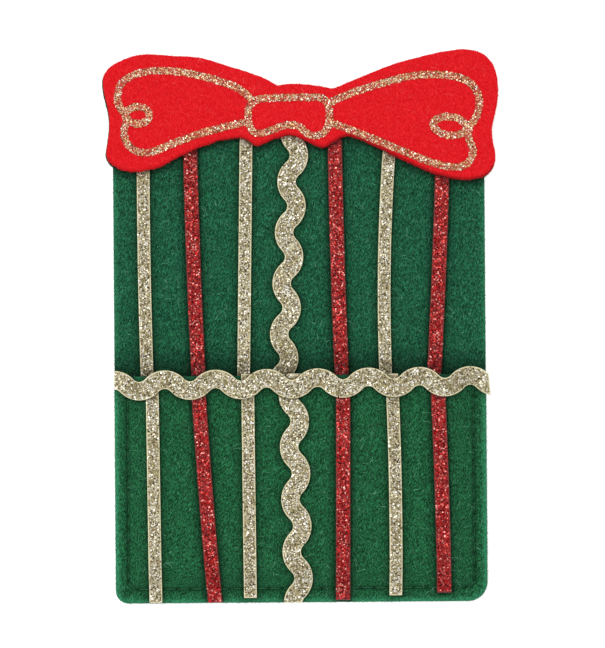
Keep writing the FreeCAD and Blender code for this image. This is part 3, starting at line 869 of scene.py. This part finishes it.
def makeLayStitches(form):
    # One stitch after another along a line of edges, each with its own length of twisted thread
    labels = floats("Stitch Length", "Thread Width")
    tree, given, out = geometryTree("layStitches", {"Stitches": "Int", **labels})
    line = addNode(tree, "GeometryNodeMeshToCurve", {"Mesh": given["Geometry"]})[0]
    even = addNode(tree, "GeometryNodeResampleCurve", {"Curve": line, "Count": given["Stitches"]})[0]
    thread = addNode(tree, "GeometryNodeMeshUVSphere", form)
    width = given["Thread Width"]
    ahead = tree.nodes.new("GeometryNodeInputTangent").outputs[0]
    laid = addNode(tree, "GeometryNodeInstanceOnPoints", {
        "Points": even,
        "Instance": storeValue(tree, thread["Mesh"], "along", thread["UV Map"], "FLOAT_VECTOR", "CORNER"),
        "Rotation": addNode(tree, "FunctionNodeAlignRotationToVector", {"Vector": ahead}, axis="Z")[0],
        "Scale": addNode(tree, "ShaderNodeCombineXYZ", [width, width, given["Stitch Length"]])[0],
    })
    smooth = addNode(tree, "GeometryNodeSetShadeSmooth", {"Geometry": realise(tree, laid[0])})[0]
    setFinish(tree, given, smooth, out)
    return tree


def treeMesh(piece, tree, settings):
    # run a tree on a piece and hand back its result as a plain mesh
    modifier = piece.modifiers.new(tree.name, "NODES")
    modifier.node_group = tree
    sockets = {s.name: s.identifier for s in tree.interface.items_tree if s.in_out == "INPUT"}
    for label, given in settings.items():
        modifier[sockets[label]] = given
    graph = bpy.context.evaluated_depsgraph_get()
    dressed = piece.evaluated_get(graph)
    mesh = bpy.data.meshes.new_from_object(dressed, depsgraph=graph, preserve_all_data_layers=True)
    piece.modifiers.remove(modifier)
    return mesh


def joinInto(piece, other):
    with bpy.context.temp_override(active_object=piece, selected_editable_objects=[piece, other]):
        bpy.ops.object.join()


def place(piece, nodes):
    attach(piece, "root")
    if nodes:
        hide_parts(*nodes)


makeCamera(cameraLook)
makeStage(stageLook)
outlines = {node: planLoops(node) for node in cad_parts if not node.startswith("seam")}
feltFibre = makeFeltFibre(fibreLook)
paintedContactShade = makeContactShade()
greenFelt = feltMaterial("greenFelt", greenLook)
pocketFelting = feltMaterial("pocketFelting", pocketGreen)
redFelt = feltMaterial("redFelt", redLook)
scatterFlakes = makeScatterFlakes(flakeForm)
scatterFibres = makeScatterFibres(fibreForm)
layStitches = makeLayStitches(stitchForm)
print("stage, materials and node trees ready")

# The seam: down the left side, across the foot and up the right side, its corners cut off
seamLook = {
    "cornerCut": 1.5 * mm,
    "pitch": 3.4 * mm,
    "stitchLength": 2.9 * mm,
    "threadWidth": 0.3 * mm,
    "threadLift": 0.35,  # its middle lies this part of its width above the valley's floor
    "sideSink": 0.1 * mm,  # up the sides the thread lies deeper than along the foot
    "valleyDepth": 0.65 * mm,
    "valleyWidth": 0.45 * mm,
    "holeDepth": 0.4 * mm,
    "holeWidth": 0.4 * mm,
    "fineStep": 0.24 * mm,  # spacing of the felt's points beside the seam
    "fineReach": 0.96 * mm,
}
cornerCut = seamLook["cornerCut"]
seamStops = np.array([
    (seamLeft, seamHigh.y), (seamLeft, seamFoot + cornerCut), (seamLeft + cornerCut, seamFoot),
    (seamRight - cornerCut, seamFoot), (seamRight, seamFoot + cornerCut), (seamRight, seamHigh.y),
])
seamAlong = np.concatenate([[0], np.cumsum(np.linalg.norm(np.diff(seamStops, axis=0), axis=1))])
stitchCount = int(round(seamAlong[-1] / seamLook["pitch"])) + 1


def seamPoints(along, aside=0.0):
    spots = np.column_stack([np.interp(along, seamAlong, seamStops[:, i]) for i in range(2)])
    run = np.clip(np.searchsorted(seamAlong, along, side="right"), 1, len(seamStops) - 1)
    ahead = (seamStops[run] - seamStops[run - 1]) / (seamAlong[run] - seamAlong[run - 1])[:, None]
    return spots + aside * np.column_stack([-ahead[:, 1], ahead[:, 0]])


def seamDistance(plan):
    # inwards from the line of stitches, negative on the margin
    left, right, foot = plan[:, 0] - seamLeft, seamRight - plan[:, 0], plan[:, 1] - seamFoot
    cuts = [(side + foot - cornerCut) / math.sqrt(2) for side in (left, right)]
    return np.minimum.reduce([left, right, foot] + cuts)


def seamDip(plan):
    # the valley that the stitches pull, and a needle hole between each two of them
    valley = seamLook["valleyDepth"] * np.exp(-(seamDistance(plan) / seamLook["valleyWidth"]) ** 2)
    fromHole = nearest(plan, needleHoles) / seamLook["holeWidth"]
    return valley + seamLook["holeDepth"] * np.exp(-fromHole ** 2)


needleHoles = seamPoints((np.arange(stitchCount - 1) + 0.5) * seamAlong[-1] / (stitchCount - 1))
fineAlong = np.arange(0, seamAlong[-1], seamLook["fineStep"])
fineAside = np.arange(-seamLook["fineReach"], seamLook["fineReach"] * 1.01, seamLook["fineStep"])
seamField = np.vstack([seamPoints(fineAlong, aside) for aside in fineAside])

# Felt sheets
feltLook = {
    "step": 0.8 * mm,
    "edgeRings": 4,
    # how far in the painted edge highlight fades, and the rim that the edge fuzz follows
    "edgeFade": 1.85 * mm,
    "dimple": 0.05 * mm,  # soft unevenness of pressed felt
    "dimpleSize": 2.4 * mm,
    "panelDip": 0.6,  # the panel's dimples lie mostly below its face, clear of what lies on it
    "press": 0.3 * mm,  # glued trims press the felt down beside them
    "pressRun": 1.2 * mm,
    "pressAsides": (0.05 * mm, 0.45 * mm, 0.85 * mm, 1.25 * mm),
    "pressStep": 0.55 * mm,
}
panelLook = {"edgeRound": 0.75 * mm}
pocketLook = {
    "edgeRound": 0.75 * mm,
    "seamRise": 0.12,  # share of the swelling that is there at the seam already
    "puffRun": 6.5 * mm,  # the front swells over this distance from the seam
}
bowLook = {
    "step": 0.5 * mm,
    "edgeRound": 0.35 * mm,
    "drop": 0.85 * mm,  # from the strips' tops to the bare panel above them
    "dropRun": 5 * mm,
    "ragged": (0.08 * mm, 0.26 * mm),  # waviness of the cut edge, along its top and along its foot
    "raggedSize": 1.6 * mm,
    "raggedFine": (2.6, 0.5),  # how much smaller its fine waves are, and their share
    "footFacing": -0.35,  # the edge faces down where its outward Y is below this
    "footShadeShare": (0.3, 0.6),  # painted shade on the edge along the foot, left and right
    "footRun": 0.6 * mm,
}
fuzzLook = {
    "Density": 0.8e6, "Fibre Length": 1.7 * mm, "Fibre Width": 0.055 * mm, "Tilt": 0.08, "Curl": 1.1 * mm,
    "Rim Least": 0.0, "Rim Most": 0.4,
}
edgeFuzzLook = {
    "Density": 5e6, "Fibre Length": 0.6 * mm, "Fibre Width": 0.05 * mm, "Tilt": 1.0, "Curl": 0.3 * mm,
    "Rim Least": 0.93, "Rim Most": 1.0,
}
bowLow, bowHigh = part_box("bow")
# Painted shade: how far and how dark raised parts and the seam darken the colour
paintedShadeLook = {
    "mouthRun": 9 * mm,  # painted shade of the raised mouth and of the bow on what lies beside them
    "mouthShare": 0.6,
    "bowRun": 2.6 * mm,
    "bowShare": 0.35,
    "lipRun": 1.3 * mm,  # painted shade of the pocket's own lip, under the ricrac
    "lipShare": 0.45,
    "seamFloor": 0.05 * mm,  # for painted shade, the stitches' valley counts as this close to something
    "seamSlope": 2.6,
    "seamAside": 0.12 * mm,  # the painted shade's darkest line lies outside the thread
    "trimPart": 0.6,  # strips stand higher than the felt, so they get less painted shade
}


def pressed(plan, nodes):
    return feltLook["press"] * smoothstep(1 - outlineGap(plan, nodes) / feltLook["pressRun"])


def mouthGap(nodes):
    # distance from those pieces and from the pocket's mouth
    def gap(plan):
        return np.minimum(outlineGap(plan, nodes), np.maximum(plan[:, 1] - mouthLevel, 0))

    return gap


def seamGap(plan):
    # painted shade in the stitches' valley, deepest at the needle holes
    aside = np.abs(seamDistance(plan) + paintedShadeLook["seamAside"])
    valley = paintedShadeLook["seamFloor"] + paintedShadeLook["seamSlope"] * aside
    gap = np.minimum(valley, paintedShadeLook["seamSlope"] * nearest(plan, needleHoles))
    return np.where(plan[:, 1] < mouthLevel, gap, farAway)


def lowerGap(plan):
    return np.minimum(outlineGap(plan, lowerTrims + ["mouth_ricrac"]), seamGap(plan))


# painted shade on the pocket just below its mouth, under the ricrac
def lowerPaintedShade(plan):
    return paintedShadeLook["lipShare"] * smoothstep(1 - (mouthLevel - plan[:, 1]) / paintedShadeLook["lipRun"])


# painted shade on the panel above the raised mouth and around the bow
def upperPaintedShade(plan):
    mouth = smoothstep(1 - (plan[:, 1] - mouthLevel) / paintedShadeLook["mouthRun"])
    bow = smoothstep(1 - outlineGap(plan, ["bow"]) / paintedShadeLook["bowRun"])
    return np.maximum(paintedShadeLook["mouthShare"] * mouth, paintedShadeLook["bowShare"] * bow)


def bare(plan):
    return np.zeros(len(plan))


def farOff(plan):
    return np.full(len(plan), farAway)


def pocketSwell(plan):
    rise, first = pocketHigh.z - marginTop, pocketLook["seamRise"]
    return marginTop + rise * smoothstep(first + (1 - first) * seamDistance(plan) / pocketLook["puffRun"])


def pocketFront(plan):
    uneven = feltLook["dimple"] * ripple(plan, feltLook["dimpleSize"], seed=3.1)
    return pocketSwell(plan) - np.maximum(seamDip(plan), pressed(plan, lowerTrims)) + uneven


def pocketBack(plan):
    return np.maximum(pocketSwell(plan) - feltThick, feltThick)


def panelFront(plan):
    uneven = feltLook["dimple"] * (ripple(plan, feltLook["dimpleSize"], seed=7.7) - feltLook["panelDip"])
    return feltThick + uneven - pressed(plan, upperTrims)


def panelBack(plan):
    return np.where(plan[:, 1] < mouthLevel, seamDip(plan), 0)


def bowBack(plan):
    # the bow lies on the strips' tops along its foot and settles onto the panel above them
    upwards = (plan[:, 1] - (bowLow.y + bowHigh.y) / 2) / bowLook["dropRun"]
    return bowLow.z - bowLook["drop"] * smoothstep(0.5 + upwards / 2)


def bowTop(plan):
    return bowBack(plan) + feltThick


def bowFront(plan):
    return bowTop(plan) + feltLook["dimple"] * ripple(plan, feltLook["dimpleSize"], seed=11.3)


def raggedCut(loop):
    loop = evenLoop(loop, bowLook["step"])
    out = outward(loop)
    most = np.interp(-out[:, 1], (0, 1), bowLook["ragged"])
    smaller, share = bowLook["raggedFine"]
    wave = ripple(loop, bowLook["raggedSize"], seed=5.3)
    wave += share * ripple(loop, bowLook["raggedSize"] / smaller, seed=8.9)
    return loop + out * (most * wave)[:, None]


def bowFootPaintedShade(plan):
    # painted shade on the bow's edge where it faces down, deeper on the right
    rim = evenLoop(outlines["bow"][0], bowLook["step"])
    gap = nearest(plan, rim[outward(rim)[:, 1] < bowLook["footFacing"]]) - bowLook["edgeRound"]
    share = np.interp(plan[:, 0], (bowLow.x / 2, bowHigh.x / 2), bowLook["footShadeShare"])
    return share * smoothstep(1 - gap / bowLook["footRun"])


def makeFelt(name, node, loop, step, surfaces, edgeRound, finishes, marks, fine=None):
    felt, fuzz = finishes
    piece = sheetPiece(
        name + "Felt", [loop], step, *surfaces, edgeRound, feltLook["edgeRings"], marks, feltLook["edgeFade"],
        fine)
    piece.data.materials.append(felt)
    place(piece, [node])
    settings = {"Seed": len(name), "Finish": fuzz}
    fibres = newObject(name + "Fuzz", treeMesh(piece, scatterFibres, {**fuzzLook, **settings}))
    joinInto(fibres, newObject(name + "Edge", treeMesh(piece, scatterFibres, {**edgeFuzzLook, **settings})))
    place(fibres, [])
    low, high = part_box(node)
    print(name, "felt:", len(piece.data.polygons), "faces, fuzz:", len(fibres.data.polygons))
    flat = (high.x - low.x, high.y - low.y)
    return piece, {"flat": flat, "area": abs(loopArea(loop)), "with_pieces": [fibres]}


greenHairs = flakeMaterial("greenFuzz", greenFuzz)
redHairs = flakeMaterial("redFuzz", redFuzz)
upperField = besideOutlines(upperTrims, feltLook["pressAsides"], feltLook["pressStep"])
lowerField = besideOutlines(lowerTrims, feltLook["pressAsides"], feltLook["pressStep"])
# these marks set where painted shade darkens each piece's colour
upperMarks = {"gap": (mouthGap(upperTrims + ["bow"]), seamGap), "shelter": (upperPaintedShade, bare)}
lowerMarks = {"gap": (lowerGap, farOff), "shelter": (lowerPaintedShade, bare)}
noMarks = {"gap": (farOff, farOff), "shelter": (bare, bare)}
bowMarks = {"gap": (farOff, farOff), "shelter": (bowFootPaintedShade, bare)}
backFelt, backSheet = makeFelt(
    "back", "back_panel", outlines["back_panel"][0], feltLook["step"], (panelFront, panelBack),
    panelLook["edgeRound"], (greenFelt, greenHairs), upperMarks,
    np.vstack([seamField, upperField]))
pocketFelt, pocketSheet = makeFelt(
    "pocket", "pocket_panel", outlines["pocket_panel"][0], feltLook["step"], (pocketFront, pocketBack),
    pocketLook["edgeRound"], (pocketFelting, greenHairs), lowerMarks,
    np.vstack([seamField, lowerField]))
bowFelt, bowSheet = makeFelt(
    "bow", "bow", raggedCut(outlines["bow"][0]), bowLook["step"], (bowFront, bowBack),
    bowLook["edgeRound"], (redFelt, redHairs), bowMarks)

# Seam threads
greenThread = threadMaterial("greenThread", threadLook)


def makeThread(name, node, level, sink):
    mesh = bpy.data.meshes.new(name)
    stops = [(x, y, level - (0 if y == seamFoot else sink)) for x, y in seamStops]
    mesh.from_pydata(stops, [(i, i + 1) for i in range(len(stops) - 1)], [])
    piece = newObject(name, mesh)
    piece.data = treeMesh(piece, layStitches, {
        "Stitches": stitchCount, "Stitch Length": seamLook["stitchLength"],
        "Thread Width": seamLook["threadWidth"], "Finish": greenThread,
    })
    place(piece, [node])


threadSink = seamLook["valleyDepth"] - seamLook["threadLift"] * seamLook["threadWidth"]
makeThread("topThread", "seam_top_thread", marginTop - threadSink, seamLook["sideSink"])
makeThread("bobbinThread", "seam_bobbin_thread", threadSink, -seamLook["sideSink"])
print("seam threads made:", stitchCount, "stitches each")

# Glitter trims
trimLook = {"step": 0.5 * mm, "edgeRound": 0.36 * mm, "edgeRings": 3, "sink": 0.4 * mm}
flakeLook = {"Density": 9e6, "Flake Size": 0.44 * mm, "Tilt": 0.42, "Lift": 0.09 * mm}
ricracLook = {"headRun": 8 * mm, "sagRun": 4 * mm, "least": 0.15}


def raised(ground, height):
    # a surface at one height over another
    return lambda plan: ground(plan) + height


def panelTop(plan):
    return np.full(len(plan), feltThick)


def mouthRicracBack(plan):
    # over each lower trim at the mouth, sinking a little between them
    over = np.zeros(len(plan))
    for node in lowerTrims:
        loop = outlines[node][0]
        head = loop[loop[:, 1] > mouthLevel - ricracLook["headRun"], 0]
        middle, half = (head.min() + head.max()) / 2, (head.max() - head.min()) / 2
        over = np.maximum(over, smoothstep(1 - (np.abs(plan[:, 0] - middle) - half) / ricracLook["sagRun"]))
    return pocketSwell(plan) + trimThick * (ricracLook["least"] + (1 - ricracLook["least"]) * over)


trimFinishes = {
    "gold_glitter": (trimMaterial("goldTrim", goldTrim), flakeMaterial("goldFlakes", goldFlakes)),
    "red_glitter": (trimMaterial("redTrim", redTrim), flakeMaterial("redFlakes", redFlakes)),
}


def ricracGap(plan):
    return outlineGap(plan, ["mouth_ricrac"])


# a weaker painted shade on the strips, beside the raised mouth and the bow
def trimPaintedShade(plan):
    return paintedShadeLook["trimPart"] * upperPaintedShade(plan)


bowGap = mouthGap(["bow"])
# painted shade on the trims beside the bow, the mouth and the mouth ricrac
trimMarks = {
    "upper": {"gap": (bowGap, bowGap), "shelter": (trimPaintedShade, trimPaintedShade)},
    "lower": {"gap": (ricracGap, ricracGap), "shelter": (bare, bare)},
    "mouth": noMarks,
}


def makeTrim(node, surfaces, slot, seed):
    body, flakes = trimFinishes[slot]
    marks = trimMarks[node.split("_")[0]]
    piece = sheetPiece(
        node + "_trim", outlines[node][:1], trimLook["step"], *surfaces, trimLook["edgeRound"],
        trimLook["edgeRings"], marks)
    piece.data.materials.append(body)
    strewn = treeMesh(piece, scatterFlakes, {**flakeLook, "Seed": seed, "Finish": flakes})
    joinInto(piece, newObject(node + "_flakes", strewn))
    place(piece, [node])


upperSides, lowerSides = (
    [raised(ground, trimThick), raised(ground, -trimLook["sink"])] for ground in (panelTop, pocketSwell))
mouthSides = [raised(mouthRicracBack, trimThick), mouthRicracBack]
for seed, node in enumerate(sorted(goldStrips + redStrips)):
    sides = upperSides if node.startswith("upper") else lowerSides
    makeTrim(node, sides, "gold_glitter" if node in goldStrips else "red_glitter", 10 + seed)
makeTrim("upper_ricrac", upperSides, "gold_glitter", 31)
makeTrim("lower_ricrac", lowerSides, "gold_glitter", 32)
makeTrim("mouth_ricrac", mouthSides, "gold_glitter", 33)
print("glitter trims made")

# Raised glitter line on the bow
printLook = {
    "step": 0.4 * mm, "edgeRound": 0.12 * mm, "edgeRings": 2, "sink": 0.1 * mm, "thick": 0.16 * mm,
    "joins": [  # in mm, where the right lobe's line runs into the knot
        [(8.1, 51.45), (9.15, 51.15), (9.85, 53.0), (8.6, 53.35)],
        [(8.45, 56.95), (9.25, 57.15), (8.35, 59.0), (7.6, 58.55)],
    ],
}
printFlakeLook = {"Density": 9e6, "Flake Size": 0.38 * mm, "Tilt": 0.5, "Lift": 0.12 * mm}


def makePrint(name, loops):
    front, back = raised(bowTop, printLook["thick"]), raised(bowTop, -printLook["sink"])
    piece = sheetPiece(
        name, loops, printLook["step"], front, back, printLook["edgeRound"], printLook["edgeRings"], noMarks)
    piece.data.materials.append(glue)
    return piece


glue = trimMaterial("printGlue", printGlue)
bowPrint = makePrint("bowPrint", outlines["bow_outline"])
for corners in printLook["joins"]:
    joinInto(bowPrint, makePrint("printJoin", [np.array(corners) * mm]))
printSettings = {**printFlakeLook, "Seed": 41, "Finish": flakeMaterial("printFlakes", printFlakes)}
joinInto(bowPrint, newObject("printFlakes", treeMesh(bowPrint, scatterFlakes, printSettings)))
place(bowPrint, ["bow_outline"])
print("bow print made")
